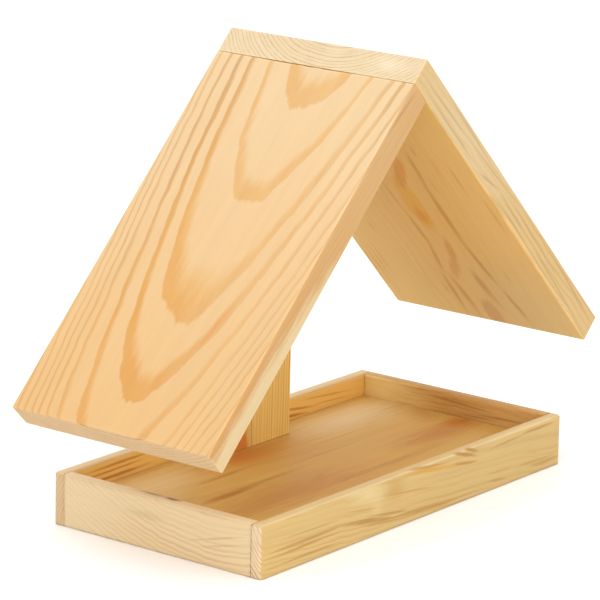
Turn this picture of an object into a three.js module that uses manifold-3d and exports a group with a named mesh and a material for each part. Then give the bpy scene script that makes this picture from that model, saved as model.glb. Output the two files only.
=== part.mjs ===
// A roofed timber feeding table for garden birds, built from planed softwood boards.
// Units are millimetres. +X runs along the long tray rails, +Y to the back and +Z up.
// The origin is the middle of the tray's underside.

import * as THREE from 'three';
import { mergeVertices } from 'three/addons/utils/BufferGeometryUtils.js';
import Module from 'manifold-3d';

// ---- driving dimensions ----

const trayLength = 300;
const trayWidth = 155;
const railHeight = 32;
const railThickness = 8;
const floorThickness = 18;
const supportWidth = 78;
const supportThickness = 18;
const ridgeHeight = 276;
const roofThickness = 18;
const roofDepth = 145;
const rightPlankLength = 270;
const leftPlankLength = 257;
const roofAngle = Math.PI / 4;
const jointGap = 0.3;

const railEdge = 2;
const roofEdge = 1.2;
const floorEdge = 0.8;
const supportEdge = 1;

// Each screw is given by its length, the radius of its head and the radius over its thread.
const ridgeScrew = { length: 42, headRadius: 3.4, threadRadius: 1.75 };
const supportScrew = { length: 38, headRadius: 3.8, threadRadius: 2 };
const railScrew = { length: 22, headRadius: 3.4, threadRadius: 1.75 };
const headRecess = 0.4;
const cornerDowel = { length: 16, radius: 2 };
const roofDowel = { length: 24, radius: 3 };

// ---- places worked out from them ----

const halfLength = trayLength / 2;
const halfWidth = trayWidth / 2;
const insideLength = trayLength - 2 * railThickness - 2 * jointGap;
const insideWidth = trayWidth - 2 * railThickness - 2 * jointGap;
const leftReach = (roofThickness + jointGap + leftPlankLength) * Math.sin(roofAngle);
const rightReach = rightPlankLength * Math.cos(roofAngle);
const ridgeX = (leftReach - rightReach) / 2;
const supportY = halfWidth - railThickness - jointGap - supportThickness / 2;

// ---- solids ----

const wasm = await Module();
wasm.setup();

function toSolid(geometry) {
  const plain = geometry.clone();
  plain.deleteAttribute('normal');
  plain.deleteAttribute('uv');
  const merged = mergeVertices(plain, 1e-4);
  return new wasm.Manifold(
    new wasm.Mesh({
      numProp: 3,
      vertProperties: new Float32Array(merged.attributes.position.array),
      triVerts: new Uint32Array(merged.index.array),
    }),
  );
}

function toGeometry(solid) {
  const mesh = solid.getMesh();
  const geometry = new THREE.BufferGeometry();
  geometry.setAttribute('position', new THREE.BufferAttribute(mesh.vertProperties, 3));
  geometry.setIndex(new THREE.BufferAttribute(mesh.triVerts, 1));
  geometry.computeVertexNormals();
  return geometry;
}

// A board with softened edges, its length along X, its width along Y and its thickness along Z.
function boardGeometry(length, width, thickness, edge) {
  const u = width / 2 - edge;
  const v = thickness / 2 - edge;
  const quarter = Math.PI / 2;
  const outline = new THREE.Shape();
  outline.absarc(u, v, edge, 0, quarter);
  outline.absarc(-u, v, edge, quarter, 2 * quarter);
  outline.absarc(-u, -v, edge, 2 * quarter, 3 * quarter);
  outline.absarc(u, -v, edge, 3 * quarter, 4 * quarter);
  const endEdge = 0.7 * edge;
  const geometry = new THREE.ExtrudeGeometry(outline, {
    depth: length - 2 * endEdge,
    bevelThickness: endEdge,
    bevelSize: endEdge,
    bevelOffset: -endEdge,
    bevelSegments: 2,
    curveSegments: 3,
  });
  geometry.translate(0, 0, endEdge - length / 2);
  const alongX = new THREE.Vector3(1, 0, 0);
  const alongY = new THREE.Vector3(0, 1, 0);
  const alongZ = new THREE.Vector3(0, 0, 1);
  return geometry.applyMatrix4(new THREE.Matrix4().makeBasis(alongY, alongZ, alongX));
}

// A turned piece about Z from [radius, height] pairs that run upwards.
function turned(profile, segments) {
  const points = profile.map(([radius, height]) => new THREE.Vector2(radius, height));
  return new THREE.LatheGeometry(points, segments).rotateX(Math.PI / 2);
}

// ---- materials and meshes ----

function finish(color, roughness, metalness = 0) {
  return new THREE.MeshStandardMaterial({ color, roughness, metalness });
}

function piece(parent, name, geometry, material) {
  const mesh = new THREE.Mesh(geometry, material);
  mesh.name = name;
  parent.add(mesh);
  return mesh;
}

// A countersunk wood screw with a cross recess: head upwards in its own frame, its top at z = 0.
function screw(parent, name, { length, headRadius, threadRadius }) {
  const point = 2 * threadRadius;
  const rim = 0.4;
  const neck = rim + headRadius - threadRadius;
  const body = turned(
    [
      [0, -length],
      [threadRadius, point - length],
      [threadRadius, -neck],
      [headRadius, -rim],
      [headRadius, 0],
      [0, 0],
    ],
    16,
  );
  const slotLength = 1.3 * headRadius;
  const slotWidth = 0.3 * headRadius;
  const slotDepth = 0.8 * headRadius;
  const slotA = new THREE.BoxGeometry(slotLength, slotWidth, 2 * slotDepth);
  const slotB = new THREE.BoxGeometry(slotWidth, slotLength, 2 * slotDepth);
  const solid = toSolid(body).subtract(toSolid(slotA)).subtract(toSolid(slotB));
  const mesh = piece(parent, name, toGeometry(solid), finish(0xb9bcc0, 0.35, 0.9));
  const wide = headRadius + jointGap;
  const narrow = threadRadius + jointGap;
  mesh.userData.hole = turned(
    [
      [0, -length - jointGap],
      [narrow, point - length - jointGap],
      [narrow, -neck - jointGap],
      [wide, -rim - jointGap],
      [wide, 3],
      [0, 3],
    ],
    16,
  );
  return mesh;
}

// A dowel with chamfered ends, its axis along Z and its middle at the origin.
function dowel(parent, name, { length, radius }) {
  const half = length / 2;
  const chamfer = 0.3 * radius;
  const geometry = turned(
    [
      [0, -half],
      [radius - chamfer, -half],
      [radius, chamfer - half],
      [radius, half - chamfer],
      [radius - chamfer, half],
      [0, half],
    ],
    14,
  );
  const mesh = piece(parent, name, geometry, finish(0xd9b583, 0.7));
  const bore = radius + jointGap;
  const reach = half + jointGap;
  mesh.userData.hole = turned(
    [
      [0, -reach],
      [bore, -reach],
      [bore, reach],
      [0, reach],
    ],
    14,
  );
  return mesh;
}

// Takes the holes of the given fixings out of a board.
function drill(board, fixings) {
  feeder.updateMatrixWorld(true);
  const toBoard = board.matrixWorld.clone().invert();
  let solid = toSolid(board.geometry);
  for (const fixing of fixings) {
    const hole = fixing.userData.hole.clone();
    hole.applyMatrix4(fixing.matrixWorld).applyMatrix4(toBoard);
    solid = solid.subtract(toSolid(hole));
  }
  board.geometry = toGeometry(solid);
}

const feeder = new THREE.Group();

// ---- tray ----

const floorPanel = piece(
  feeder,
  'floor_panel',
  boardGeometry(insideLength, insideWidth, floorThickness, floorEdge),
  finish(0xc89a5c, 0.75),
);
floorPanel.position.z = floorThickness / 2;

function longRail(name, side) {
  const geometry = boardGeometry(trayLength, railThickness, railHeight, railEdge);
  const rail = piece(feeder, name, geometry, finish(0xdcb27a, 0.65));
  rail.position.set(0, (side * (trayWidth - railThickness)) / 2, railHeight / 2);
  return rail;
}

function shortRail(name, side) {
  const geometry = boardGeometry(insideWidth, railThickness, railHeight, railEdge);
  const rail = piece(feeder, name, geometry, finish(0xe6cd9c, 0.65));
  rail.position.set((side * (trayLength - railThickness)) / 2, 0, railHeight / 2);
  rail.rotation.z = Math.PI / 2;
  return rail;
}

const frontRail = longRail('front_rail', -1);
const backRail = longRail('back_rail', 1);
const leftRail = shortRail('left_rail', -1);
const rightRail = shortRail('right_rail', 1);

// Two hidden dowels pin each corner of the tray frame.
const dowelInsideLongRail = 5;

function cornerDowels(corner, sideX, sideY) {
  const levels = { lower: railHeight * 0.28, upper: railHeight * 0.72 };
  const jointY = halfWidth - railThickness;
  return Object.entries(levels).map(([level, height]) => {
    const pin = dowel(feeder, `corner_dowel_${corner}_${level}`, cornerDowel);
    const y = jointY + dowelInsideLongRail - cornerDowel.length / 2;
    pin.position.set((sideX * (trayLength - railThickness)) / 2, sideY * y, height);
    pin.rotation.x = Math.PI / 2;
    return pin;
  });
}

const dowelsFrontLeft = cornerDowels('front_left', -1, -1);
const dowelsFrontRight = cornerDowels('front_right', 1, -1);
const dowelsBackLeft = cornerDowels('back_left', -1, 1);
const dowelsBackRight = cornerDowels('back_right', 1, 1);

// ---- roof: a square corner joint turned so that its corner points up ----
// In the roof's own frame the right plank lies flat below z = 0 with its top end at x = 0,
// and the left plank hangs from it along -Z with its outer face at x = 0.

const roof = new THREE.Group();
roof.position.set(ridgeX, 0, ridgeHeight);
roof.rotation.y = roofAngle;
feeder.add(roof);

const rightPlank = piece(
  roof,
  'right_roof_plank',
  boardGeometry(rightPlankLength, roofDepth, roofThickness, roofEdge),
  finish(0xe3bd86, 0.65),
);
rightPlank.position.set(rightPlankLength / 2, 0, -roofThickness / 2);

const leftPlank = piece(
  roof,
  'left_roof_plank',
  boardGeometry(leftPlankLength, roofDepth, roofThickness, roofEdge),
  finish(0xf2cb90, 0.65),
);
const leftPlankTop = -roofThickness - jointGap;
leftPlank.position.set(roofThickness / 2, 0, leftPlankTop - leftPlankLength / 2);
leftPlank.rotation.y = Math.PI / 2;

const ridgeScrews = [-0.34, 0, 0.34].map((share, index) => {
  const fixing = screw(roof, `ridge_screw_${index + 1}`, ridgeScrew);
  fixing.position.set(roofThickness / 2, share * roofDepth, -headRecess);
  return fixing;
});

const roofSupportScrews = [42, 62].map((alongSlope, index) => {
  const fixing = screw(roof, `roof_support_screw_${index + 1}`, supportScrew);
  fixing.position.set(alongSlope, supportY, -headRecess);
  return fixing;
});

const roofDowels = [48, 64].map((alongSlope, index) => {
  const pin = dowel(roof, `roof_dowel_${index + 1}`, roofDowel);
  pin.position.set(roofThickness + jointGap / 2, supportY, -alongSlope);
  pin.rotation.y = Math.PI / 2;
  return pin;
});

// ---- support board: upright against the back rail, its top cut square to fit under the roof ----

const supportBottom = floorThickness + jointGap;
const supportBlank = ridgeHeight - supportBottom;
const supportBoard = piece(
  feeder,
  'support_board',
  boardGeometry(supportBlank, supportWidth, supportThickness, supportEdge),
  finish(0xd2a060, 0.7),
);
supportBoard.position.set(ridgeX, supportY, supportBottom + supportBlank / 2);
supportBoard.rotation.set(0, Math.PI / 2, Math.PI / 2, 'ZYX');

// What lies under both roof planks, as a block in the roof's frame.
const underRoofSize = 400;
const underRoof = new THREE.Mesh(
  new THREE.BoxGeometry(underRoofSize, underRoofSize, underRoofSize),
);
const clearOfRoof = roofThickness + jointGap + underRoofSize / 2;
underRoof.position.set(clearOfRoof, 0, -clearOfRoof);
roof.add(underRoof);

function trimUnderRoof(board) {
  feeder.updateMatrixWorld(true);
  const block = underRoof.geometry.clone().applyMatrix4(underRoof.matrixWorld);
  block.applyMatrix4(board.matrixWorld.clone().invert());
  board.geometry = toGeometry(toSolid(board.geometry).intersect(toSolid(block)));
  roof.remove(underRoof);
}

trimUnderRoof(supportBoard);

const backRailScrews = [-28, 28].map((offset, index) => {
  const fixing = screw(feeder, `back_rail_screw_${index + 1}`, railScrew);
  const height = (floorThickness + railHeight) / 2;
  fixing.position.set(ridgeX + offset, halfWidth - headRecess, height);
  fixing.rotation.x = -Math.PI / 2;
  return fixing;
});

const floorScrews = [-14, 14].map((offset, index) => {
  const fixing = screw(feeder, `floor_screw_${index + 1}`, supportScrew);
  fixing.position.set(ridgeX + offset, supportY, headRecess);
  fixing.rotation.x = Math.PI;
  return fixing;
});

// ---- holes for the fixings ----

drill(frontRail, [...dowelsFrontLeft, ...dowelsFrontRight]);
drill(backRail, [...dowelsBackLeft, ...dowelsBackRight, ...backRailScrews]);
drill(leftRail, [...dowelsFrontLeft, ...dowelsBackLeft]);
drill(rightRail, [...dowelsFrontRight, ...dowelsBackRight]);
drill(floorPanel, floorScrews);
drill(rightPlank, [...ridgeScrews, ...roofSupportScrews]);
drill(leftPlank, [...ridgeScrews, ...roofDowels]);
drill(supportBoard, [...roofSupportScrews, ...roofDowels, ...backRailScrews, ...floorScrews]);

export default feeder;
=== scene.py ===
"""The finished look of a roofed timber bird feeder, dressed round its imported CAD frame.

Lengths are metres, as in the frame. Wood grain is described in millimetres in each board's own
axes: x along the grain, y across the board and z out of its show face, from the board's middle.
"""

import math
from dataclasses import dataclass

import bmesh
import bpy
from mathutils import Matrix, Vector, noise


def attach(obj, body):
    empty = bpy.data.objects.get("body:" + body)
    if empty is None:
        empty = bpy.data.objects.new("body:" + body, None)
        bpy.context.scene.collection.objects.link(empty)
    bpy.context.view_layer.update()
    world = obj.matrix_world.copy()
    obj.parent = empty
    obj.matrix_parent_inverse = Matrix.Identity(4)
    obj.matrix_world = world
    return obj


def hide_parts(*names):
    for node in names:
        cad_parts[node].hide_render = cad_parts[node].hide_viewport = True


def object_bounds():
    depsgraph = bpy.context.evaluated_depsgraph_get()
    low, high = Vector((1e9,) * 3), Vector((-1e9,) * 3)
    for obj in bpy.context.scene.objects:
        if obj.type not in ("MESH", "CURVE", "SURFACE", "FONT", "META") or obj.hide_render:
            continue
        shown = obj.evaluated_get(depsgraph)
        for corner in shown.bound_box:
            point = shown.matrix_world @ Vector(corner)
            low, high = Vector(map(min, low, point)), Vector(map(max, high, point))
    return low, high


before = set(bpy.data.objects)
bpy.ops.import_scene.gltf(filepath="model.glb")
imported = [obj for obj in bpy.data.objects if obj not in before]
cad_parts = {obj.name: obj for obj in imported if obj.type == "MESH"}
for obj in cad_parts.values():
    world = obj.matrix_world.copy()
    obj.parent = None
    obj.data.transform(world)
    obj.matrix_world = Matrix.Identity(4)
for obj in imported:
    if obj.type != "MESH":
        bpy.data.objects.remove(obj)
cad_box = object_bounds()

MM = 0.001
PITCH = math.radians(45)
UP = Vector((0, 0, 1))
RIGHT = Vector((1, 0, 0))
BACK = Vector((0, 1, 0))
DOWN_LEFT = Vector((-math.cos(PITCH), 0, -math.sin(PITCH)))
DOWN_RIGHT = Vector((math.cos(PITCH), 0, -math.sin(PITCH)))


def tint(code):
    """A linear colour from an sRGB hex code."""
    parts = [int(code[i : i + 2], 16) / 255 for i in (0, 2, 4)]
    linear = [c / 12.92 if c <= 0.04045 else ((c + 0.055) / 1.055) ** 2.4 for c in parts]
    return (*linear, 1.0)


# ---------------- node graphs


class Graph:
    """A material's node tree. Each method adds a node and gives back its output."""

    def __init__(self, name):
        self.material = bpy.data.materials.new(name)
        self.material.use_nodes = True
        self.tree = self.material.node_tree
        self.tree.nodes.clear()

    def add(self, kind, inputs=None, **settings):
        node = self.tree.nodes.new("ShaderNode" + kind)
        for key, value in settings.items():
            setattr(node, key, value)
        for socket, value in (inputs or {}).items():
            self.feed(node.inputs[socket], value)
        return node

    def feed(self, socket, value):
        if isinstance(value, bpy.types.NodeSocket):
            self.tree.links.new(value, socket)
        else:
            socket.default_value = value

    def math(self, operation, *values, clamp=False):
        node = self.add("Math", operation=operation, use_clamp=clamp)
        for socket, value in zip(node.inputs, values):
            self.feed(socket, value)
        return node.outputs[0]

    def vector(self, operation, *values):
        node = self.add("VectorMath", operation=operation)
        for socket, value in zip(node.inputs, values):
            self.feed(socket, value)
        return node.outputs["Value" if operation == "LENGTH" else "Vector"]

    def scaled(self, vector, factor):
        node = self.add("VectorMath", {0: vector, "Scale": factor}, operation="SCALE")
        return node.outputs["Vector"]

    def split(self, vector):
        return self.add("SeparateXYZ", {0: vector}).outputs

    def total(self, *values):
        result = values[0]
        for value in values[1:]:
            result = self.math("ADD", result, value)
        return result

    def noise(self, vector, detail=1.0, rough=0.5):
        """Smooth noise between about -1 and 1."""
        inputs = {"Vector": vector, "Scale": 1.0, "Detail": detail, "Roughness": rough}
        node = self.add("TexNoise", inputs, noise_dimensions="3D")
        return self.math("MULTIPLY_ADD", node.outputs[0], 2.0, -1.0)

    def pattern(self, name, spot, shift=(0.0, 0.0, 0.0), detail=1.0, rough=0.5):
        """One of the wood's own kinds of noise."""
        stretched = self.vector("MULTIPLY_ADD", spot, PATTERNS[name], shift)
        return self.noise(stretched, detail, rough)

    def step(self, value, low, high, start=0.0, end=1.0):
        """A smooth change from start to end as the value goes from low to high."""
        inputs = {"Value": value, "From Min": low, "From Max": high, "To Min": start, "To Max": end}
        return self.add("MapRange", inputs, interpolation_type="SMOOTHSTEP").outputs[0]

    def mix(self, share, first, second):
        node = self.add("Mix", {0: share, 6: first, 7: second}, data_type="RGBA")
        return node.outputs[2]

    def curve(self, value, points):
        """A broken line through the given (value, result) points, going on past both ends."""
        low = points[0]
        high = points[-1]
        span = (high[0] - low[0], high[1] - low[1])
        share = self.math("DIVIDE", self.math("SUBTRACT", value, low[0]), span[0])
        node = self.add("FloatCurve", {"Value": share})
        node.mapping.use_clip = False
        node.mapping.extend = "EXTRAPOLATED"
        line = node.mapping.curves[0]
        while len(line.points) < len(points):
            line.points.new(0.5, 0.5)
        for dot, point in zip(line.points, points):
            dot.location = ((point[0] - low[0]) / span[0], (point[1] - low[1]) / span[1])
            dot.handle_type = "VECTOR"
        node.mapping.update()
        return self.math("MULTIPLY_ADD", node.outputs[0], span[1], low[1])

    def finish(self, color, roughness, height, bump_depth, **constants):
        bump = self.add("Bump", {"Height": height, "Strength": 1.0, "Distance": bump_depth})
        shader = self.add("BsdfPrincipled", {"Base Color": color, "Roughness": roughness})
        self.feed(shader.inputs["Normal"], bump.outputs[0])
        for name, value in constants.items():
            shader.inputs[name.replace("_", " ")].default_value = value
        output = self.add("OutputMaterial")
        self.tree.links.new(shader.outputs[0], output.inputs["Surface"])
        return self.material


# ---------------- wood

# How often each kind of unevenness comes in a millimetre along, across and through a board.
PATTERNS = {
    "wander": (0.011, 0.0, 0.0),
    "swell": (0.014, 0.045, 0.045),
    "ripple": (0.06, 0.45, 0.45),
    "flames": (0.02, 0.17, 0.17),
    "patches": (0.016, 0.06, 0.06),
    "clouds": (0.012, 0.035, 0.05),
    "bands": (0.007, 0.16, 0.16),
    "fibres": (0.03, 1.5, 1.5),
    "fingers": (0.05, 0.4, 0.4),
    "dashes": (0.12, 2.6, 2.6),
    "pores": (0.4, 3.0, 3.0),
}
# How jagged summer wood starts, when in the year it is full, and how much warmer some areas are.
FLAMES = 0.16
LATE_FULL = 0.75
MOTTLE = 0.5
RELIEF = 0.06 * MM
WOOD_SHEEN = 0.35
# How far a surface has turned towards an axis as its colours start and finish changing.
TURN = (0.55, 0.9)


@dataclass
class Mark:
    """A soft-edged spot of colour: a streak, an island of summer wood, resin, a paler patch, or
    painted light and shade on a face.

    Its middle and reach are along, across and through the board. The slant is how far it drifts
    across and through for each millimetre along.
    """

    at: tuple
    reach: tuple
    color: str
    strength: float = 0.8
    soft: float = 0.5
    slant: tuple = (0.0, 0.0)


@dataclass
class Grain:
    """How a board was cut from its tree, and the colours of its wood.

    The pith passes the board's middle at (y, z), drifts by slope for each millimetre along x, and
    bow gives where along x it turns and how tightly. Rings are a mean width or, as ring_ends, the
    distances from the pith at which years end, with ring_depths, how dark each year is. Summer
    wood starts at late_from in a year and begins to end at close_from. Line is its colour where
    rings are cut steeply. Wave and ragged bend the rings, patchy varies how dark they are, and
    blunt flattens the arches' tips over that many millimetres. The shares say how strongly rings
    show on the faces, sides and ends, and on the far face, which far_side points to along z unless
    it is zero. The gains are colour factors on the sides and that far face; where a board's colours
    are set brighter and warmer than the wood as painted light on its shaded show face, far_gain
    gives the far face plainer wood. Fibre, streaks and edge_light vary how light fine lines, bands
    and arrises are; the rails' negative edge_light is painted shade that dulls the highlight on
    their rounded arrises. Aging is the strength and colour of a tint that grows along the board.
    """

    pith: tuple
    early: str
    late: str
    end_early: str
    end_late: str
    line: str = ""
    side_gain: tuple = (1.0, 1.0, 1.0)
    far_side: float = 0.0
    far_gain: tuple = (1.0, 1.0, 1.0)
    far_share: float = 0.5
    slope: tuple = (0.0, 0.0)
    rings: float = 4.0
    ring_ends: tuple = ()
    ring_depths: tuple = ()
    bow: tuple = (0.0, 1e6)
    blunt: float = 0.0
    wave: float = 0.6
    ragged: float = 0.12
    late_from: float = 0.5
    close_from: float = 0.95
    patchy: float = 0.25
    face_share: float = 0.5
    side_share: float = 0.35
    end_share: float = 0.6
    fibre: float = 0.04
    streaks: float = 0.05
    edge_light: float = 0.05
    aging: tuple = (0.0, "ffffff")
    seed: float = 0.0


def ring_radius(g, spot, grain):
    """How far each point is from the pith, in millimetres, with the tree's unevenness.

    The second result is 1 where a ring lies flat along the board's face, and less where it is cut
    more steeply.
    """
    x, y, z = g.split(spot)
    shift = tuple(grain.seed * step for step in (17.3, 5.9, 11.7))
    wander = g.pattern("wander", spot, shift, 4.0, 0.68)
    bow_at, bow_radius = grain.bow
    from_bow = g.math("SUBTRACT", x, bow_at)
    bowed = g.math("DIVIDE", g.math("MULTIPLY", from_bow, from_bow), 2 * bow_radius)
    line_y = g.math("MULTIPLY_ADD", x, grain.slope[0], grain.pith[0])
    line_y = g.math("MULTIPLY_ADD", wander, 4 * grain.wave, line_y)
    line_z = g.math("MULTIPLY_ADD", x, grain.slope[1], grain.pith[1])
    across = g.math("SUBTRACT", g.math("SUBTRACT", y, bowed), line_y)
    below = g.math("SUBTRACT", z, line_z)
    beside = g.math("MULTIPLY", across, across)
    if grain.blunt:
        share = g.math("DIVIDE", beside, g.math("ADD", beside, grain.blunt**2))
        beside = g.math("MULTIPLY", beside, share)
    squares = g.total(beside, g.math("MULTIPLY", below, below))
    radius = g.math("SQRT", squares)
    swell = g.pattern("swell", spot, shift, 2.0)
    ripple = g.pattern("ripple", spot, shift, 2.0)
    radius = g.math("MULTIPLY_ADD", swell, 1.6 * grain.wave, radius)
    radius = g.math("MULTIPLY_ADD", ripple, grain.ragged, radius)
    flatness = g.math("DIVIDE", g.math("ABSOLUTE", below), radius)
    return radius, flatness


def nearness(g, spot, mark, fingers):
    """1 in the middle of a mark, falling to 0 in uneven fingers at its reach along each axis."""
    away = g.vector("SUBTRACT", spot, mark.at)
    if any(mark.slant):
        lean = g.scaled((0.0, *mark.slant), g.split(away)[0])
        away = g.vector("SUBTRACT", away, lean)
    distance = g.vector("LENGTH", g.vector("DIVIDE", away, mark.reach))
    distance = g.math("ADD", fingers, distance)
    return g.step(distance, 1.0, 1.0 - mark.soft)


def summer_wood(g, spot, radius, grain, end):
    """How much of each point is the dark wood that closes a year's ring.

    Chance makes each year's summer wood earlier or later and, unless the grain gives its years,
    makes them wider or narrower and darker or paler.
    """
    if grain.ring_ends:
        points = [(r, i) for i, r in enumerate(grain.ring_ends)]
        count = g.curve(radius, points)
    else:
        along = g.math("DIVIDE", radius, 3.2 * grain.rings)
        pace = g.add("TexNoise", {"W": along, "Scale": 1.0}, noise_dimensions="1D")
        count = g.math("DIVIDE", radius, grain.rings)
        count = g.math("MULTIPLY_ADD", pace.outputs[0], 1.4, count)
    part = g.math("FRACT", count)
    year = g.math("FLOOR", count)
    chance = g.add("TexWhiteNoise", {"W": g.math("ADD", year, grain.seed)}, noise_dimensions="1D")
    luck = chance.outputs["Value"]
    depth = g.step(luck, 0.0, 1.0, 0.5, 1.0)
    if grain.ring_depths:
        depth = g.curve(year, [(i - 1, d) for i, d in enumerate(grain.ring_depths)])
    flames = g.pattern("flames", spot, detail=4.0, rough=0.6)
    jagged = g.math("MULTIPLY_ADD", flames, FLAMES, part)
    lateness = g.math("MULTIPLY", luck, 0.14)
    start = g.math("MULTIPLY_ADD", end, 0.2, g.math("ADD", lateness, grain.late_from))
    full = g.math("MULTIPLY_ADD", end, 0.08, g.math("ADD", lateness, LATE_FULL))
    rise = g.step(jagged, start, full)
    close = g.step(part, grain.close_from, 1.0, 1.0, 0.0)
    patches = g.pattern("patches", spot, (grain.seed,) * 3)
    share = g.math("MULTIPLY_ADD", patches, grain.patchy, depth)
    return g.math("MULTIPLY", g.math("MULTIPLY", rise, close), share)


def edge_nearness(g, spot, half_size):
    """1 on the board's arrises, falling to 0 about two millimetres away from them."""
    size = [h / MM for h in half_size]
    inside = g.vector("SUBTRACT", size, g.vector("ABSOLUTE", spot))
    a, b, c = g.split(inside)
    least = g.math("MINIMUM", g.math("MINIMUM", a, b), c)
    most = g.math("MAXIMUM", g.math("MAXIMUM", a, b), c)
    middle = g.math("SUBTRACT", g.math("SUBTRACT", g.total(a, b, c), least), most)
    return g.step(middle, 2.2, 0.4)


def wood(name, grain, marks, half_size):
    """Solid wood: the rings, fibres and resin run right through the board."""
    g = Graph(name)
    place = g.add("TexCoord")
    spot = g.scaled(place.outputs["Object"], 1 / MM)
    outward = g.split(place.outputs["Normal"])
    facing = g.split(g.vector("ABSOLUTE", place.outputs["Normal"]))
    far = g.step(g.math("MULTIPLY", outward[2], grain.far_side), *TURN)
    end = g.step(facing[0], *TURN)
    side = g.step(facing[1], *TURN)
    shift = tuple(grain.seed * step for step in (3.1, 7.7, 1.3))
    radius, flatness = ring_radius(g, spot, grain)
    late = summer_wood(g, spot, radius, grain, end)
    share = g.math("MULTIPLY_ADD", end, grain.end_share - grain.face_share, grain.face_share)
    share = g.math("MULTIPLY_ADD", side, grain.side_share - grain.face_share, share)
    share = g.math("MULTIPLY_ADD", far, grain.far_share - grain.face_share, share)
    late = g.math("MULTIPLY", late, share, clamp=True)
    early_color = g.mix(end, tint(grain.early), tint(grain.end_early))
    late_color = tint(grain.late)
    if grain.line:
        late_color = g.mix(g.step(flatness, 0.82, 0.95), tint(grain.line), late_color)
    late_color = g.mix(end, late_color, tint(grain.end_late))
    color = g.mix(late, early_color, late_color)
    if grain.aging[0]:
        along = g.step(g.split(spot)[0], -half_size[0] / MM, half_size[0] / MM, 0, grain.aging[0])
        color = g.mix(along, color, g.vector("MULTIPLY", color, tint(grain.aging[1])[:3]))

    if grain.side_gain != (1.0, 1.0, 1.0):
        color = g.mix(side, color, g.vector("MULTIPLY", color, grain.side_gain))
    # Painted light: boards whose show face is coloured to stand in for its light and shade get plainer
    # wood on the far face through far_gain.
    if grain.far_side:
        color = g.mix(far, color, g.vector("MULTIPLY", color, grain.far_gain))

    warm = g.step(g.pattern("clouds", spot, shift, 2.0), -0.5, 0.5)
    warm = g.math("MULTIPLY", warm, MOTTLE)
    color = g.mix(warm, color, g.vector("MULTIPLY", color, (0.99, 0.93, 0.85)))
    edge = edge_nearness(g, spot, half_size)
    combed = spot
    if grain.slope[0]:
        lean = g.scaled((0.0, grain.slope[0], 0.0), g.split(spot)[0])
        combed = g.vector("SUBTRACT", spot, lean)
    fibres = g.pattern("fibres", combed, shift, 3.0, 0.6)
    fingers = g.pattern("fingers", spot, shift, 2.0)
    fingers = g.math("MULTIPLY_ADD", fibres, 0.3, g.math("MULTIPLY", fingers, 0.3))
    for mark in marks:
        share = nearness(g, spot, mark, fingers)
        color = g.mix(g.math("MULTIPLY", share, mark.strength), color, tint(mark.color))

    resin = g.step(g.pattern("dashes", combed, shift), 0.45, 0.65, 0.0, 0.1)
    bands = g.pattern("bands", combed, shift, 2.0)
    light = g.math("MULTIPLY_ADD", fibres, grain.fibre, 1.0)
    light = g.math("MULTIPLY_ADD", bands, grain.streaks, light)
    light = g.math("SUBTRACT", light, resin)
    # On the rails edge_light is negative: painted shade on the arrises, dulling the highlight their
    # rounding catches.
    light = g.math("MULTIPLY_ADD", edge, grain.edge_light, light)
    color = g.scaled(color, light)

    pores = g.pattern("pores", combed, shift, 2.0, 0.7)
    roughness = g.math("MULTIPLY_ADD", late, -0.1, 0.56)
    roughness = g.math("MULTIPLY_ADD", end, 0.14, roughness)
    roughness = g.math("MULTIPLY_ADD", pores, 0.05, roughness)
    height = g.math("MULTIPLY_ADD", late, 0.45, g.math("MULTIPLY", fibres, 0.5))
    height = g.math("MULTIPLY_ADD", pores, g.math("MULTIPLY_ADD", end, 0.5, 0.3), height)
    return g.finish(color, roughness, height, RELIEF, Specular_IOR_Level=WOOD_SHEEN)


# ---------------- boards


class Board:
    """A board's own axes and size, measured on its CAD solid."""

    def __init__(self, node, along, across):
        self.node = node
        axes = (along, across, along.cross(across))
        dots = [vertex.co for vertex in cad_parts[node].data.vertices]
        spans = [(min(p.dot(a) for p in dots), max(p.dot(a) for p in dots)) for a in axes]
        self.half = Vector([(high - low) / 2 for low, high in spans])
        middle = sum(((low + high) / 2 * axis for (low, high), axis in zip(spans, axes)), Vector())
        turn = Matrix(axes).transposed().to_4x4()
        self.place = Matrix.Translation(middle) @ turn

    def outline(self):
        x, y, _ = self.half
        return [(-x, -y), (x, -y), (x, y), (-x, y)]

    def gabled_outline(self):
        """A board cut square to a point at its upper end, to fit under both roof planks."""
        x, y, _ = self.half
        shoulder = x - y * math.tan(PITCH)
        return [(-x, -y), (shoulder, -y), (x, 0), (shoulder, y), (-x, y)]


def made(shape, name):
    """Turns the shape under construction into a mesh."""
    mesh = bpy.data.meshes.new(name)
    shape.to_mesh(mesh)
    shape.free()
    return mesh


def prism(outline, half_thickness, radius_of):
    """A slab with its edges rounded; radius_of gives each edge's radius from its middle."""
    shape = bmesh.new()
    layer = shape.edges.layers.float.new("bevel_weight_edge")
    low = [shape.verts.new((x, y, -half_thickness)) for x, y in outline]
    high = [shape.verts.new((x, y, half_thickness)) for x, y in outline]
    shape.faces.new(list(reversed(low)))
    shape.faces.new(high)
    for i in range(len(outline)):
        j = (i + 1) % len(outline)
        shape.faces.new((low[i], low[j], high[j], high[i]))
    widest = 4 * MM
    for edge in shape.edges:
        middle = (edge.verts[0].co + edge.verts[1].co) / 2
        edge[layer] = radius_of(middle) / widest
    rounding = {"limit_method": "WEIGHT", "width": widest, "segments": 5, "harden_normals": False}
    return modified(made(shape, "slab"), "BEVEL", rounding)


def modified(mesh, kind, settings):
    """The mesh after one modifier has been applied to it."""
    holder = bpy.data.objects.new("holder", mesh)
    bpy.context.scene.collection.objects.link(holder)
    modifier = holder.modifiers.new(kind.lower(), kind)
    for key, value in settings.items():
        setattr(modifier, key, value)
    graph = bpy.context.evaluated_depsgraph_get()
    result = bpy.data.meshes.new_from_object(holder.evaluated_get(graph))
    bpy.data.objects.remove(holder)
    return result


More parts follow.
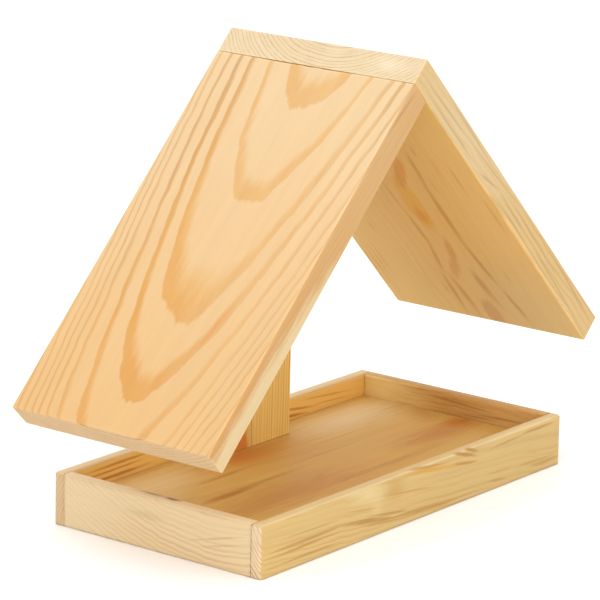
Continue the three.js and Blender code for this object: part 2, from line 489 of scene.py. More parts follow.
def sliced(mesh, half, step_x, step_y):
    """Cuts the slab's faces across so that its edges can be worn unevenly."""
    rounded = 2.5 * MM
    shape = bmesh.new()
    shape.from_mesh(mesh)
    for axis, step in ((0, step_x), (1, step_y)):
        normal = Vector([1.0 if i == axis else 0.0 for i in range(3)])
        reach = half[axis] - rounded
        count = max(1, round(2 * reach / step))
        for i in range(count + 1):
            at = normal * (reach * (2 * i / count - 1))
            everything = shape.verts[:] + shape.edges[:] + shape.faces[:]
            bmesh.ops.bisect_plane(shape, geom=everything, plane_co=at, plane_no=normal)
    shape.to_mesh(mesh)
    shape.free()


def wear_edges(mesh, half, amount, seed):
    """Takes a little more off the arrises in some places than in others, as hand sanding does."""
    reach = 1.6 * MM
    waves = 45
    for vertex in mesh.vertices:
        spot = vertex.co
        worn = [max(0.0, 1 - (half[i] - abs(spot[i])) / reach) for i in range(3)]
        share = sorted(worn)[1]
        if share <= 0:
            continue
        place = Vector((spot.x * waves, spot.y * waves, spot.z * waves + seed))
        depth = amount * share * (0.5 + 0.5 * noise.noise(place) + 0.3 * noise.noise(place * 4))
        inward = Vector([-math.copysign(w, c) for w, c in zip(worn, spot)])
        vertex.co = spot + inward * max(0.0, depth)


def ring(shape, radii, height):
    """Points all round Z at one height, one for each of the given radii."""
    turns = [2 * math.pi * i / len(radii) for i in range(len(radii))]
    return [shape.verts.new((r * math.cos(a), r * math.sin(a), height)) for r, a in zip(radii, turns)]


def skinned(shape, rows, name):
    """A closed solid over rows of points that run upwards, the first and last a single point."""
    for lower, upper in zip(rows, rows[1:]):
        segments = max(len(lower), len(upper))
        for i in range(segments):
            j = (i + 1) % segments
            corners = [lower[i % len(lower)], lower[j % len(lower)]]
            corners += [upper[j % len(upper)], upper[i % len(upper)]]
            shape.faces.new(list(dict.fromkeys(corners)))
    return made(shape, name)


def lathe(profile, segments):
    """A turned solid about Z from (radius, height) pairs that run upwards."""
    shape = bmesh.new()
    rows = [ring(shape, [radius] * (segments if radius else 1), height) for radius, height in profile]
    return skinned(shape, rows, "turned")


def soften(piece, angle=35):
    """Smooth shading that keeps flat faces flat and true corners sharp."""
    for polygon in piece.data.polygons:
        polygon.use_smooth = True
    piece.data.set_sharp_from_angle(angle=math.radians(angle))
    weighted = piece.modifiers.new("flat_faces", "WEIGHTED_NORMAL")
    weighted.keep_sharp = True


def settle(piece, node):
    """Hands a finished piece to the frame in place of its CAD node."""
    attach(piece, "root")
    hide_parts(node)


def add_piece(name, mesh, place, material):
    piece = bpy.data.objects.new(name, mesh)
    bpy.context.scene.collection.objects.link(piece)
    piece.matrix_world = place
    mesh.materials.clear()
    mesh.materials.append(material)
    return piece


# ---------------- fixings

# The smaller screws' radii; the larger ones have the same proportions.
THREAD_RADIUS = 1.75
HEAD_RADIUS = 3.4
RIM = 0.25 * MM


@dataclass
class Fixing:
    """Where a screw or dowel sits: its axis runs down its own -Z from the head or end."""

    node: str
    place: Matrix
    length: float
    radius: float
    head: float = 0.0


def axis_frame(node, axis):
    """The place, length and radius of a turned CAD node, with its far end along the axis as origin."""
    dots = [vertex.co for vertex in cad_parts[node].data.vertices]
    along = [p.dot(axis) for p in dots]
    top = max(along)
    length = top - min(along)
    side = axis.orthogonal().normalized()
    other = axis.cross(side)
    center = [
        (min(p.dot(a) for p in dots) + max(p.dot(a) for p in dots)) / 2 for a in (side, other)
    ]
    radius = max((p - p.project(axis) - side * center[0] - other * center[1]).length for p in dots)
    turn = Matrix((side, other, axis)).transposed().to_4x4()
    origin = side * center[0] + other * center[1] + axis * top
    return Matrix.Translation(origin) @ turn, length, radius


def screw_mesh(length, head, thread):
    """A countersunk wood screw with a cross recess, its head's top at z = 0."""
    pitch = 1.05 * thread
    root = 0.68 * thread
    shank = 0.8 * thread
    point = 2 * thread
    neck = RIM + head - thread
    thread_from = 0.42 * length
    half_crest = 0.3
    segments = 28
    rows_per_turn = 8
    count = int((length - neck) / pitch * rows_per_turn)
    heights = [-length + (length - neck) * i / count for i in range(count + 1)]
    shape = bmesh.new()
    rows = [ring(shape, [0], -length)]
    for height in heights[1:]:
        taper = min(1.0, (length + height) / point)
        fade = min(1.0, max(0.0, (-height - thread_from) / (1.5 * pitch)))
        core = root + (shank - root) * (1 - fade)
        phases = [(height / pitch - i / segments) % 1.0 for i in range(segments)]
        crests = [max(0.0, 1 - abs(phase - 0.5) / half_crest) ** 0.8 for phase in phases]
        radii = [taper * (core + fade * (thread - root) * crest) for crest in crests]
        rows.append(ring(shape, radii, height))
    flare = [(thread, -neck), (head - 0.06 * MM, -RIM - 0.04 * MM), (head, -RIM)]
    crown = [(head, -0.08 * MM), (head - 0.1 * MM, 0.0), (0.6 * head, 0.0), (0.25 * head, 0.0)]
    rows += [ring(shape, [radius] * segments, height) for radius, height in flare + crown]
    rows.append(ring(shape, [0], 0))
    return cut(skinned(shape, rows, "screw"), [cross_cutter(head)])


def cross_cutter(head):
    """The tapered cross that the driver's tip leaves in a screw's head."""
    shape = bmesh.new()
    rows = []
    for height, length, width in ((-0.85, 0.22, 0.08), (0.2, 0.68, 0.17)):
        arm = [Vector((length, -width, height)), Vector((length, width, height))]
        arm.append(Vector((width, width, height)))
        spins = [Matrix.Rotation(math.pi / 2 * quarter, 3, "Z") for quarter in range(4)]
        rows.append([shape.verts.new(spin @ corner * head) for spin in spins for corner in arm])
    bottom, top = rows
    shape.faces.new(list(reversed(bottom)))
    shape.faces.new(top)
    for i in range(len(top)):
        j = (i + 1) % len(top)
        shape.faces.new((bottom[i], bottom[j], top[j], top[i]))
    return made(shape, "cross")


def cut(mesh, cutters):
    """Takes solids out of a mesh."""
    for cutter in cutters:
        tool = bpy.data.objects.new("cutter", cutter)
        bpy.context.scene.collection.objects.link(tool)
        settings = {"object": tool, "operation": "DIFFERENCE", "solver": "EXACT"}
        mesh = modified(mesh, "BOOLEAN", settings)
        bpy.data.objects.remove(tool)
    return mesh


def dowel_mesh(length, radius):
    """A fluted dowel with chamfered ends, its upper end at z = 0."""
    flutes = 12
    segments = flutes * 6
    angles = [2 * math.pi * i / segments for i in range(segments)]
    grooves = [max(0.0, math.cos(flutes * angle)) ** 2 * 0.07 * radius for angle in angles]
    chamfer = 0.35 * radius
    shape = bmesh.new()
    stations = [(-length, chamfer), (chamfer - length, 0)]
    stations += [(chamfer - length + (length - 2 * chamfer) * i / 6, 0) for i in range(1, 6)]
    stations += [(-chamfer, 0), (0, chamfer)]
    rows = [ring(shape, [0], -length)]
    for height, less in stations:
        rows.append(ring(shape, [radius - less - groove for groove in grooves], height))
    rows.append(ring(shape, [0], 0))
    return skinned(shape, rows, "dowel")


def screw_hole(fixing, clearance):
    """The pilot hole and countersink that a screw sits in."""
    thread = fixing.radius + clearance
    wide = fixing.head + clearance
    neck = RIM + fixing.head - fixing.radius
    above = 3 * MM
    profile = [(0, -fixing.length - clearance), (thread, 2 * thread - fixing.length - clearance)]
    profile += [(thread, -neck - clearance), (wide, -0.3 * MM - clearance), (wide, above), (0, above)]
    return placed(lathe(profile, 40), fixing.place)


def dowel_hole(fixing, clearance):
    """The blind bore that a dowel sits in."""
    bore = fixing.radius + clearance
    low = -fixing.length - clearance
    return placed(lathe([(0, low), (bore, low), (bore, clearance), (0, clearance)], 40), fixing.place)


def placed(mesh, place):
    mesh.transform(place)
    return mesh


def steel():
    """Bright zinc-plated steel with fine turning marks and a few duller patches."""
    g = Graph("zinc_steel")
    place = g.add("TexCoord")
    spot = g.scaled(place.outputs["Object"], 1 / MM)
    x, y, _ = g.split(spot)
    radius = g.math("SQRT", g.total(g.math("MULTIPLY", x, x), g.math("MULTIPLY", y, y)))
    marks = g.add("TexNoise", {"W": g.math("MULTIPLY", radius, 14.0)}, noise_dimensions="1D")
    patches = g.noise(g.vector("MULTIPLY", spot, (0.6, 0.6, 0.25)), 3.0)
    dull = g.step(patches, -0.3, 0.5)
    color = g.mix(dull, tint("c9ccd1"), tint("a9a69a"))
    roughness = g.math("MULTIPLY_ADD", dull, 0.16, 0.26)
    roughness = g.math("MULTIPLY_ADD", marks.outputs[0], 0.08, roughness)
    return g.finish(color, roughness, marks.outputs[0], 0.02 * MM, Metallic=1.0)


def beech():
    """Pale pinkish beech with short flecks, running along the dowel's axis."""
    g = Graph("beech_dowel")
    place = g.add("TexCoord")
    spot = g.scaled(place.outputs["Object"], 1 / MM)
    fibres = g.noise(g.vector("MULTIPLY", spot, (2.0, 2.0, 0.12)), 3.0)
    flecks = g.noise(g.vector("MULTIPLY", spot, (5.0, 5.0, 0.9)))
    color = g.mix(g.step(fibres, -0.6, 0.6), tint("e3bf95"), tint("cfa173"))
    color = g.mix(g.step(flecks, 0.3, 0.6, 0.0, 0.6), color, tint("a87448"))
    roughness = g.math("MULTIPLY_ADD", fibres, 0.06, 0.6)
    return g.finish(color, roughness, fibres, 0.05 * MM, Specular_IOR_Level=WOOD_SHEEN)


# ---------------- the boards' grain

# Where each ring's arch ends on the left plank's outer face, in millimetres down from the ridge,
# and how dark each ring is. The arches past the board's low end run out of its sides. Then how
# far beyond that face the pith lies at the ridge, and how fast it draws away from it.
ARCH_ENDS = (-29, 33, 97, 182, 234, 291, 346, 378, 408, 438, 476, 512)
ARCH_DEPTHS = (0.75, 0.75, 0.75, 1.0, 1.0, 0.85, 0.6, 0.65, 0.6, 0.6, 0.55, 0.55)
PITH_BEYOND = 82
PITH_SLOPE = 0.0845
# A roof plank's half thickness, and half the left one's length.
FACE = 9
HALF_LEFT = 128.5

GRAINS = {
    "left_roof_plank": Grain(
        pith=(3.5, FACE + PITH_BEYOND + HALF_LEFT * PITH_SLOPE),
        slope=(-0.02, PITH_SLOPE),
        blunt=9.0,
        ring_ends=tuple(PITH_BEYOND + PITH_SLOPE * s for s in ARCH_ENDS),
        ring_depths=ARCH_DEPTHS,
        early="d2b58b",
        late="c8974f",
        line="ba905b",
        side_gain=(0.81, 0.68, 0.48),
        end_early="cbb698",
        end_late="927053",
        wave=0.7,
        ragged=0.3,
        face_share=0.9,
        side_share=0.3,
        end_share=0.75,
        aging=(1.0, "fbedd4"),
        seed=1.0,
    ),
    "right_roof_plank": Grain(
        pith=(-3.0, FACE + 52.0),
        slope=(0.0, 0.012),
        rings=2.4,
        early="d7b164",
        late="b48948",
        side_gain=(0.82, 0.86, 1.2),
        end_early="d1bc98",
        end_late="946e44",
        wave=1.0,
        ragged=0.4,
        patchy=0.6,
        face_share=0.16,
        side_share=0.55,
        end_share=0.65,
        # Painted light: the underside's colours are warmer and brighter than the wood, standing in for
        # the bounce light in its shade; far_gain gives the outer face plainer wood.
        far_side=1.0,
        far_gain=(0.95, 1.04, 1.98),
        far_share=0.7,
        seed=2.0,
    ),
    "front_rail": Grain(
        pith=(30.0, 52.0),
        slope=(-0.06, 0.0),
        rings=2.3,
        early="c9aa6c",
        late="a77939",
        end_early="dbc39e",
        end_late="946e4f",
        wave=0.9,
        ragged=0.25,
        late_from=0.3,
        close_from=0.85,
        patchy=0.9,
        face_share=0.28,
        end_share=0.9,
        fibre=0.09,
        streaks=0.12,
        aging=(1.0, "f7f8f9"),
        # Painted shade: darker arrises that dull the highlight on their rounding.
        edge_light=-0.05,
        seed=3.0,
    ),
    "back_rail": Grain(
        pith=(-25.0, 43.0),
        slope=(-0.04, 0.0),
        rings=2.4,
        early="ceab72",
        late="b07c40",
        end_early="caad87",
        end_late="987455",
        wave=1.0,
        patchy=0.6,
        face_share=0.4,
        end_share=0.8,
        # Painted shade: darker arrises that dull the highlight on their rounding.
        edge_light=-0.05,
        seed=4.0,
    ),
    "left_rail": Grain(
        pith=(90.0, 30.0),
        bow=(45.0, 175.0),
        rings=3.2,
        early="d7bf95",
        late="b08763",
        end_early="ceb68d",
        end_late="aa8361",
        wave=1.8,
        ragged=0.3,
        late_from=0.25,
        close_from=0.8,
        patchy=0.9,
        face_share=0.34,
        fibre=0.06,
        # Painted shade: darker arrises that dull the highlight on their rounding.
        edge_light=-0.05,
        seed=5.0,
    ),
    "right_rail": Grain(
        pith=(80.0, 30.0),
        rings=3.0,
        early="ca9b53",
        late="a4692d",
        end_early="c19c76",
        end_late="9d734b",
        wave=1.8,
        patchy=0.8,
        # Painted light: the inner face's colours are warmer and more saturated than the wood, standing
        # in for the light bounced inside the tray; far_gain gives the outer face plainer wood.
        far_side=-1.0,
        far_gain=(0.92, 1.1, 1.6),
        # Painted shade: darker arrises that dull the highlight on their rounding.
        edge_light=-0.05,
        seed=6.0,
    ),
    "floor_panel": Grain(
        pith=(-10.0, 120.0),
        slope=(0.01, 0.03),
        rings=4.4,
        early="d5ad60",
        late="b48548",
        end_early="c1a176",
        end_late="9d734b",
        wave=0.8,
        patchy=0.5,
        face_share=0.25,
        streaks=0.08,
        seed=7.0,
    ),
    "support_board": Grain(
        pith=(140.0, 20.0),
        rings=2.6,
        early="e8c16b",
        late="b87937",
        end_early="c1a176",
        end_late="9d734b",
        wave=0.5,
        patchy=0.4,
        face_share=0.6,
        streaks=0.08,
        # Painted light: the front face is coloured brighter and yellower than the wood to stand in for
        # the light it lacks in the roof's shade; far_gain gives the back plainer wood.
        far_side=-1.0,
        far_gain=(0.77, 0.84, 1.6),
        side_gain=(0.85, 0.9, 1.35),
        seed=8.0,
    ),
}


def edge_line(x, z, half_length, slant=0.0, depth=0.5):
    """A thin dark line on the right plank's front edge."""
    return Mark((x, -72.5, z), (half_length, 1.5, 1.3), "a27e44", depth, 0.8, (0.0, slant))


def under_line(x, y, half_length, half_width, slant=0.0, depth=0.65):
    """A line of summer wood on the right plank's underside."""
    return Mark((x, y, -9), (half_length, half_width, 4), "bb8634", depth, 0.8, (slant, 0.0))


def rail_line(x, y, half_length, half_width, slant=0.0, depth=0.75):
    """A line of summer wood on the front rail's outer face."""
    return Mark((x, y, 4), (half_length, half_width, 4), "aa7c37", depth, 0.7, (slant, 0.0))


# Each board's streaks and spots, some of them painted light and shade, one laid over the other in this
# order.
MARKS = {
    "left_roof_plank": (
        Mark((20, 40, 9), (190, 52, 8), "cfab7b", 0.5, 1.0),
        Mark((28, 3, 9), (20, 17, 4), "cb9a55", 0.6, 1.0),
        Mark((-8, -25, 9), (36, 4.5, 4), "cd9d58", 0.5, 1.0, (0.2, 0.0)),
        Mark((50, 31, 9), (24, 3.4, 4), "ca8846", 0.6, 0.9, (-0.2, 0.0)),
        Mark((-84, 54, 9), (110, 26, 4), "d6ba8f", 0.35, 1.0),
        Mark((80, 72.5, -9), (125, 1.5, 15), "ccb589", 0.9, 0.5, (0.0, 0.03)),
        Mark((-110, 72.5, 5.8), (24, 1.5, 1.2), "a47844", 0.8, 0.9, (0.0, 0.1)),
    ),
    "right_roof_plank": (
        Mark((-135, -50, 1), (6, 20, 9), "e0d1b6", 0.5, 1.0),
        Mark((-70, -72.5, 0), (110, 1.5, 30), "cab38d", 0.55, 1.0),
        edge_line(-30, -3.0, 16, 0.22),
        edge_line(5, -1.2, 34, -0.05),
        edge_line(70, -3.6, 52, -0.035),
        edge_line(120, -6.8, 24, -0.05),
        edge_line(8, -5.5, 40, -0.02),
        edge_line(62, -6.6, 38, -0.01),
        edge_line(-85, -4.6, 48, 0.01),
        edge_line(-98, 0.6, 40, 0.03, 0.4),
        edge_line(-70, 6.4, 50, -0.02, 0.4),
        edge_line(88, 5.5, 52, -0.05),
        edge_line(-30, 3.6, 50, 0.05, 0.4),
        edge_line(40, 1.6, 60, -0.04, 0.4),
        Mark((-10, -72.5, -8.6), (18, 1.5, 2.4), "ac8741"),
        Mark((30, -62, -9), (150, 34, 4), "e0b876", 0.6, 1.0),
        Mark((105, -42, -9), (85, 60, 4), "cdb57d", 0.6, 1.0),
        Mark((5, -4, -9), (32, 9.0, 4), "d5a237", 0.95, 0.35),
        Mark((17, -4, -9), (14, 7.5, 4), "cd8b25", 0.7, 0.9),
        Mark((-30, -10.5, -9), (23, 6.0, 4), "cd9230", 0.9, 0.5, (0.4, 0.0)),
        Mark((53, -8.5, -9), (18, 4.2, 4), "c8914a", 0.8, 0.6, (0.15, 0.0)),
        Mark((74, -1.5, -9), (18, 5.8, 4), "c8974c", 0.8, 0.7, (0.35, 0.0)),
        Mark((124, -8.5, -9), (20, 7.2, 4), "c59650", 0.85, 0.4),
        under_line(90, -16, 24, 4.2, -0.06, 0.7),
        under_line(106, -19, 16, 1.6, -0.05, 0.4),
        under_line(0, 9.0, 24, 1.2, -0.05),
        under_line(34, 6.6, 28, 2.4, -0.05),
        under_line(66, 8.4, 24, 2.4, 0.12),
        under_line(104, 13.5, 34, 2.5, 0.03),
        under_line(106, 5.5, 34, 2.8, -0.06),
        under_line(-38, -26.5, 28, 2.8, 0.06),
        under_line(10, -24.2, 52, 3.2, 0.0, 0.75),
        under_line(64, -26.5, 32, 3.0, -0.12, 0.75),
        under_line(108, -33, 28, 2.6, -0.15),
        under_line(84, 62, 28, 1.2, 0.0, 0.5),
        under_line(80, 58, 26, 1.2, 0.0, 0.5),
        under_line(88, 66, 26, 1.1, 0.0, 0.4),
        under_line(90, 69.5, 26, 1.0, 0.0, 0.4),
        under_line(42, 47, 11, 1.4, 0.0, 0.4),
        under_line(100, 31, 16, 1.2, 0.0, 0.3),
        under_line(104, 19, 9, 1.6, 0.0, 0.4),
        under_line(-58, -34, 9, 1.6, 0.0, 0.6),
        under_line(-22, -32, 14, 1.4, 0.0, 0.4),
        under_line(-45, -44, 16, 1.4, 0.0, 0.3),
        under_line(74, -42, 12, 1.6, 0.05, 0.3),
        under_line(-35, -55, 24, 1.8, 0.0, 0.4),
        under_line(0, -66, 30, 2.0, 0.0, 0.4),
    ),
    "front_rail": (
        # Painted light: the top face made lighter, as though lit more from above.
        Mark((0, 16, 0), (400, 1.2, 30), "dbc290", 0.9),
        Mark((-50, 11, 4), (26, 9, 4), "d5be89", 0.8, 1.0, (-0.1, 0.0)),
        Mark((-42, 0, 4), (9, 12, 4), "d1b67f", 0.6, 1.0, (-0.2, 0.0)),
        Mark((-24, 8, 4), (16, 10, 4), "b88e46", 0.6, 1.0, (-0.1, 0.0)),
        rail_line(-112, -1.8, 40, 1.4),
        rail_line(-112, -4.8, 40, 1.3),
        rail_line(-110, -10.8, 40, 1.2, 0.0, 0.6),
        rail_line(-104, 3.2, 34, 0.9, -0.02, 0.4),
        rail_line(-57, -3.4, 32, 1.4, -0.12),
        rail_line(-44, -6.4, 36, 1.5, -0.13, 0.8),
        rail_line(-30, -5.2, 28, 1.0, -0.14, 0.7),
        rail_line(-34, -9.6, 26, 1.1, -0.1, 0.7),
        rail_line(-4, -10.0, 38, 1.5, -0.05, 0.7),
        rail_line(20, -12.0, 46, 1.3, -0.02, 0.7),
        rail_line(-58, 3.4, 24, 0.9, -0.14, 0.4),
        rail_line(-10, 3.6, 34, 1.0, -0.12, 0.4),
        Mark((15, 11.4, 4), (42, 2.2, 4), "c28f2e", 0.8, 0.8, (-0.11, 0.0)),
        rail_line(8, 14.4, 26, 1.1, -0.1),
        rail_line(47, 13.2, 15, 1.7, -0.27, 0.95),
        rail_line(53, 14.8, 9, 1.7, -0.3, 0.95),
        rail_line(46, 8.2, 17, 1.5, -0.15),
        rail_line(90, 11.5, 22, 1.1, 0.04, 0.6),
        rail_line(127, 13.0, 27, 1.4, 0.0, 0.8),
        rail_line(120, -7.6, 30, 1.3, -0.03, 0.5),
        rail_line(132, -10.6, 24, 2.0, 0.0, 0.6),
        rail_line(82, -10.8, 12, 1.2, -0.1, 0.6),
        rail_line(84, -5.5, 20, 0.9, -0.06, 0.35),
    ),
    "back_rail": (
        # Painted light: the inner face, which faces the front, made brighter and warmer as though lit
        # from the front.
        Mark((0, 0, 4), (400, 40, 0.35), "efbf63", 0.9),
        # Painted light: the top face made lighter, as though lit more from above.
        Mark((0, 16, 0), (400, 1.2, 30), "e0c698"),
        Mark((60, 4.4, 4), (28, 1.6, 3), "b66c29", 0.9, 0.7, (-0.05, 0.0)),
        Mark((66, 8.4, 4), (34, 1.2, 3), "bf7c35", 0.8, 0.8, (-0.12, 0.0)),
        Mark((104, 10.0, 4), (34, 0.9, 3), "c6893a", 0.7, 0.9, (-0.08, 0.0)),
        Mark((108, 5.6, 4), (30, 0.9, 3), "c6893a", 0.6, 0.9, (-0.05, 0.0)),
        Mark((-104, 4.6, 4), (44, 1.5, 3), "b46e2d", 0.85, 0.7, (0.01, 0.0)),
        Mark((-110, 8.4, 4), (40, 1.1, 3), "bc7835", 0.8, 0.8, (0.02, 0.0)),
        Mark((-100, 11.8, 4), (44, 1.2, 3), "bc7835", 0.8, 0.8, (0.01, 0.0)),
    ),
    "left_rail": (
        # Painted light: the top face made lighter, as though lit more from above.
        Mark((0, 16, 0), (400, 1.2, 30), "e8cda0", 0.9),
        Mark((-52, 2, 4), (50, 34, 4), "d7c39c", 0.5, 1.0),
        Mark((-8, 4.5, 4), (22, 3.5, 4), "bfa579", 0.5, 1.0),
        Mark((47, 2.2, 4), (28, 1.1, 4), "b49566", 0.55, 0.9, (0.26, 0.0)),
        Mark((50, -1.6, 4), (28, 1.0, 4), "b7996c", 0.5, 0.9, (0.24, 0.0)),
        Mark((-6, 16, -3.0), (20, 2.2, 5.6), "94602f", 0.85, 0.9),
        Mark((8, 16, -2.8), (9, 2.2, 4.6), "6c3b16", 0.95, 0.7),
    ),
    "right_rail": (
        # Painted light: the top face made lighter, as though lit more from above.
        Mark((0, 16, 0), (400, 1.2, 30), "d5b379", 0.4),
        # Painted light: the inner face made lighter, most towards the back.
        Mark((-66, 0, 4), (64, 40, 1.5), "efd48d", 0.9, 0.8),
        Mark((50, 0, 4), (56, 40, 1.5), "dab273", 0.7, 0.8),
        Mark((36, 6.5, 4), (26, 1.2, 3), "945d26", 0.6, 0.9, (0.03, 0.0)),
        Mark((5, 10.5, 4), (34, 1.1, 3), "945d26", 0.6, 0.9, (-0.05, 0.0)),
        Mark((20, 4.2, 4), (24, 0.9, 3), "945d26", 0.5, 0.9, (0.02, 0.0)),
    ),
    "floor_panel": (
        # Painted light: paler patches over the back of the floor, where it looks more brightly lit.
        Mark((92, 44, 9), (80, 30, 6), "e0c694", 0.9, 1.0),
        Mark((-100, 46, 9), (60, 30, 6), "e0bf85", 0.7, 1.0),
        Mark((-56, -25, 9), (112, 27, 6), "c08843", 0.8, 0.9),
        Mark((-84, 0.5, 9), (34, 5.0, 6), "ae6c2c", 0.8, 0.9),
        Mark((-42, 2.0, 9), (50, 3.2, 6), "b07a38", 0.55, 0.9),
        Mark((-55, 26, 9), (40, 3.0, 6), "b27d3c", 0.6, 0.9),
        Mark((-22, 42, 9), (54, 20, 6), "d08636", 0.8, 1.0),
        Mark((105, -17, 9), (66, 20, 6), "bf7d35", 0.7, 1.0),
        Mark((30, -32, 9), (80, 5, 6), "b0793c", 0.4, 1.0),
        Mark((132, -12, 9), (20, 12, 6), "c2762a", 0.75, 0.9),
        Mark((134, 16, 9), (24, 17, 6), "b27d3c", 0.35, 1.0, (0.5, 0.0)),
        Mark((20, 10, 9), (60, 1.6, 6), "b68544", 0.4, 0.9),
        Mark((60, 24, 9), (50, 1.4, 6), "b68544", 0.35, 0.9),
    ),
    "support_board": (
        # Partly darker heartwood, partly painted shade: a reddish-orange strip low on the front face,
        # under the left plank.
        Mark((-128, 10, 9), (72, 10.5, 12), "cf7724", 0.9),
        Mark((-128, -0.6, 9), (100, 0.8, 12), "885526", 0.6, 0.9),
        Mark((-40, -39, 9), (60, 3.5, 12), "c68539", 0.6, 0.9),
    ),
}

# Each board's directions along and across, its material slot, and its edges' usual radius.
BOARDS = {
    "left_roof_plank": (DOWN_LEFT, -BACK, "roof_pine", 1.0 * MM),
    "right_roof_plank": (DOWN_RIGHT, BACK, "roof_pine", 1.0 * MM),
    "front_rail": (RIGHT, UP, "rail_pine", 1.9 * MM),
    "back_rail": (RIGHT, UP, "rail_pine", 1.9 * MM),
    "left_rail": (-BACK, UP, "rail_pine", 1.9 * MM),
    "right_rail": (-BACK, UP, "rail_pine", 1.9 * MM),
    "floor_panel": (RIGHT, BACK, "floor_pine", 0.6 * MM),
    "support_board": (UP, -RIGHT, "support_pine", 0.9 * MM),
}

# The radii of edges that meet another board, and of the tray's upright corners.
SHARP = 0.25 * MM
CORNER = 2.8 * MM
# The room round a screw or dowel in its hole.
CLEARANCE = 0.2 * MM
# How deep the arrises are worn, and how far apart the cuts are that let them wear unevenly.
WEAR = 0.22 * MM
CUTS_ALONG = 6 * MM
CUTS_ACROSS = 9 * MM
CUTS_ACROSS_RIDGE = 2.4 * MM


def fixings_along(names, axis, threaded):
    """The screws or dowels that share one direction."""
    found = []
    for node in names:
        place, length, radius = axis_frame(node, axis)
        if threaded:
            thread = radius * THREAD_RADIUS / HEAD_RADIUS
            found.append(Fixing(node, place, length, thread, radius))
        else:
            found.append(Fixing(node, place, length, radius))
    return found


# Straight out of the right plank's upper side.
ROOF_UP = Vector((math.sin(PITCH), 0, math.cos(PITCH)))
RIDGE_SCREWS = fixings_along([f"ridge_screw_{i}" for i in (1, 2, 3)], ROOF_UP, True)
SUPPORT_SCREWS = fixings_along([f"roof_support_screw_{i}" for i in (1, 2)], ROOF_UP, True)
RAIL_SCREWS = fixings_along([f"back_rail_screw_{i}" for i in (1, 2)], BACK, True)
FLOOR_SCREWS = fixings_along([f"floor_screw_{i}" for i in (1, 2)], -UP, True)
ROOF_DOWELS = fixings_along([f"roof_dowel_{i}" for i in (1, 2)], DOWN_RIGHT, False)


def corner_dowels(*corners):
    """The two dowels in each of the given corners of the tray."""
    names = [f"corner_dowel_{c}_{level}" for c in corners for level in ("lower", "upper")]
    return fixings_along(names, BACK, False)


HOLES = {
    "left_roof_plank": RIDGE_SCREWS + ROOF_DOWELS,
    "right_roof_plank": RIDGE_SCREWS + SUPPORT_SCREWS,
    "front_rail": corner_dowels("front_left", "front_right"),
    "back_rail": corner_dowels("back_left", "back_right") + RAIL_SCREWS,
    "left_rail": corner_dowels("front_left", "back_left"),
    "right_rail": corner_dowels("front_right", "back_right"),
    "floor_panel": FLOOR_SCREWS,
    "support_board": SUPPORT_SCREWS + ROOF_DOWELS + RAIL_SCREWS + FLOOR_SCREWS,
}


def edge_radius(board, usual):
    """Rounded arrises, but nearly sharp ones wherever one board meets another."""
    half = board.half

    def radius_of(middle):
        at_end = abs(abs(middle.x) - half.x) < 1e-6
        at_face = abs(abs(middle.z) - half.z) < 1e-6
        if board.node in ("left_rail", "right_rail") and at_end:
            return SHARP
        if board.node in ("front_rail", "back_rail") and at_end and at_face:
            inner = -1 if board.node == "front_rail" else 1
            return SHARP if middle.z * inner > 0 else CORNER
        if board.node == "support_board" and at_end and middle.x < 0:
            return SHARP
        if board.node.endswith("_rail") and middle.y < -half.y + 1e-6:
            return usual / 2
        at_ridge_end = at_end and middle.x < 0
        if board.node == "left_roof_plank" and at_ridge_end:
            return SHARP
        if board.node == "right_roof_plank" and at_ridge_end and at_face and middle.z < 0:
            return SHARP
        return usual

    return radius_of


def close_end_joint(mesh, half, ends):
    """Takes the given ends of a board right up to its neighbours, all but a hair."""
    end_zone = 0.5 * MM
    growth = 0.24 * MM
    for vertex in mesh.vertices:
        for end in ends:
            if vertex.co.x * end > half.x - end_zone:
                vertex.co.x += end * growth


def close_ridge_joint(mesh, half):
    """Lets the left plank's top end touch the right plank, but for a thin gap in the middle.

    Places and widths along the joint are shares of half the plank's width.
    """
    end_zone = 0.4 * MM
    gap_middle = -0.1
    gap_width = 0.42
    bridges = (-0.12, 0.05)
    bridge_width = 0.02
    growth = 0.26 * MM
    retreat = 0.25 * MM
    for vertex in mesh.vertices:
        if vertex.co.x > -half.x + end_zone:
            continue
        share = vertex.co.y / half.y
        gap = math.exp(-((share - gap_middle) / gap_width) ** 2)
        bridge = max(math.exp(-((share - at) / bridge_width) ** 2) for at in bridges)
        open_share = gap * (1 - 0.8 * bridge)
        vertex.co.x -= growth * (1 - open_share) - retreat * open_share


def build_board(node, seed):
    along, across, slot, usual_radius = BOARDS[node]
    board = Board(node, along, across)
    outline = board.gabled_outline() if node == "support_board" else board.outline()
    mesh = prism(outline, board.half.z, edge_radius(board, usual_radius))
    cuts_across = CUTS_ACROSS_RIDGE if node == "left_roof_plank" else CUTS_ACROSS
    sliced(mesh, board.half, CUTS_ALONG, cuts_across)
    wear_edges(mesh, board.half, WEAR, seed)
    if node == "left_roof_plank":
        close_ridge_joint(mesh, board.half)
    if node in ("left_rail", "right_rail"):
        close_end_joint(mesh, board.half, (-1, 1))
    if node == "support_board":
        close_end_joint(mesh, board.half, (-1,))
    to_board = board.place.inverted()
    cutters = []
    for fixing in HOLES[node]:
        hole = screw_hole(fixing, CLEARANCE) if fixing.head else dowel_hole(fixing, CLEARANCE)
        cutters.append(placed(hole, to_board))
    mesh = cut(mesh, cutters)
    pine = wood(node, GRAINS[node], MARKS[node], board.half)
    piece = add_piece(node + "_timber", mesh, board.place, pine)
    soften(piece)
    settle(piece, node)


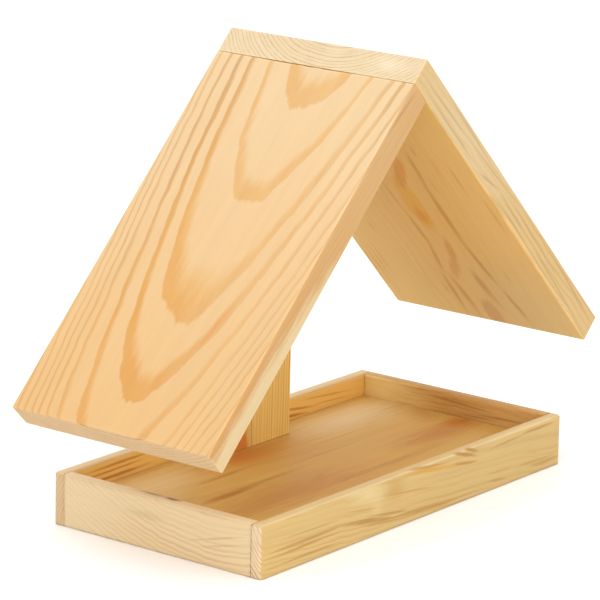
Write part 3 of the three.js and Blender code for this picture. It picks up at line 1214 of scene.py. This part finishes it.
def build_fixings():
    metal = steel()
    timber = beech()
    screws = RIDGE_SCREWS + SUPPORT_SCREWS + RAIL_SCREWS + FLOOR_SCREWS
    shapes = {}
    for fixing in screws:
        size = tuple(round(value, 6) for value in (fixing.length, fixing.head, fixing.radius))
        if size not in shapes:
            shapes[size] = screw_mesh(*size)
        piece = add_piece(fixing.node + "_steel", shapes[size].copy(), fixing.place, metal)
        soften(piece, 40)
        settle(piece, fixing.node)
    corners = ("front_left", "front_right", "back_left", "back_right")
    for fixing in ROOF_DOWELS + corner_dowels(*corners):
        mesh = dowel_mesh(fixing.length, fixing.radius)
        piece = add_piece(fixing.node + "_beech", mesh, fixing.place, timber)
        soften(piece, 40)
        settle(piece, fixing.node)


# ---------------- floor, light and camera


def build_floor():
    """A wide round of pale studio floor, faintly uneven in tone."""
    shape = bmesh.new()
    bmesh.ops.create_circle(shape, cap_ends=True, segments=96, radius=9.0)
    g = Graph("studio_floor")
    place = g.add("TexCoord")
    clouds = g.noise(g.scaled(place.outputs["Object"], 3.0), 2.0)
    color = g.mix(g.step(clouds, -0.5, 0.5), tint("fbfbfb"), tint("fdfdfd"))
    material = g.finish(color, g.math("MULTIPLY_ADD", clouds, 0.02, 0.85), clouds, 0.02 * MM)
    just_below = Matrix.Translation((0, 0, -0.1 * MM))
    floor = add_piece("studio_floor", made(shape, "studio_floor"), just_below, material)


def softbox(name, toward, distance, size, power):
    """A square lamp facing the object from the given direction."""
    lamp = bpy.data.lights.new(name, "AREA")
    lamp.shape = "SQUARE"
    lamp.size = size
    lamp.energy = power
    holder = bpy.data.objects.new(name, lamp)
    bpy.context.scene.collection.objects.link(holder)
    direction = Vector(toward).normalized()
    low, high = cad_box
    holder.location = (low + high) / 2 + direction * distance
    holder.rotation_euler = direction.to_track_quat("Z", "Y").to_euler()


def light_studio():
    world = bpy.data.worlds.new("studio")
    world.use_nodes = True
    sky = world.node_tree.nodes["Background"]
    sky.inputs["Color"].default_value = (1, 1, 1, 1)
    sky.inputs["Strength"].default_value = 1.12
    bpy.context.scene.world = world
    softbox("key_left", (-1.0, -0.35, 0.9), 2.2, 1.6, 9)
    softbox("fill_front", (-0.25, -1.0, 0.35), 2.4, 1.8, 9)
    softbox("top", (0.1, 0.1, 1.0), 2.4, 2.4, 13.4)
    bpy.context.scene.view_settings.view_transform = "Standard"
    bpy.context.scene.view_settings.look = "None"


def add_camera():
    """Looks from the front left, a little above the roof's eaves, through a long lens."""
    low, high = cad_box
    aim = (low + high) / 2 + Vector((-10.4, 6.5, -16.7)) * MM
    azimuth = math.radians(52.63)
    elevation = math.radians(14.57)
    roll = math.radians(1.37)
    distance = 2.2056
    turn = Matrix.Rotation(-azimuth, 4, "Z")
    tilt = Matrix.Rotation(math.pi / 2 - elevation, 4, "X")
    turned = turn @ tilt @ Matrix.Rotation(roll, 4, "Z")
    data = bpy.data.cameras.new("camera")
    data.lens = 222.5
    data.sensor_width = 36
    data.clip_start = 0.05
    data.clip_end = 60
    camera = bpy.data.objects.new("camera", data)
    bpy.context.scene.collection.objects.link(camera)
    camera.matrix_world = Matrix.Translation(aim) @ turned @ Matrix.Translation((0, 0, distance))
    bpy.context.scene.camera = camera


add_camera()
for number, board_node in enumerate(GRAINS):
    build_board(board_node, number * 3.7)
build_fixings()
build_floor()
light_studio()
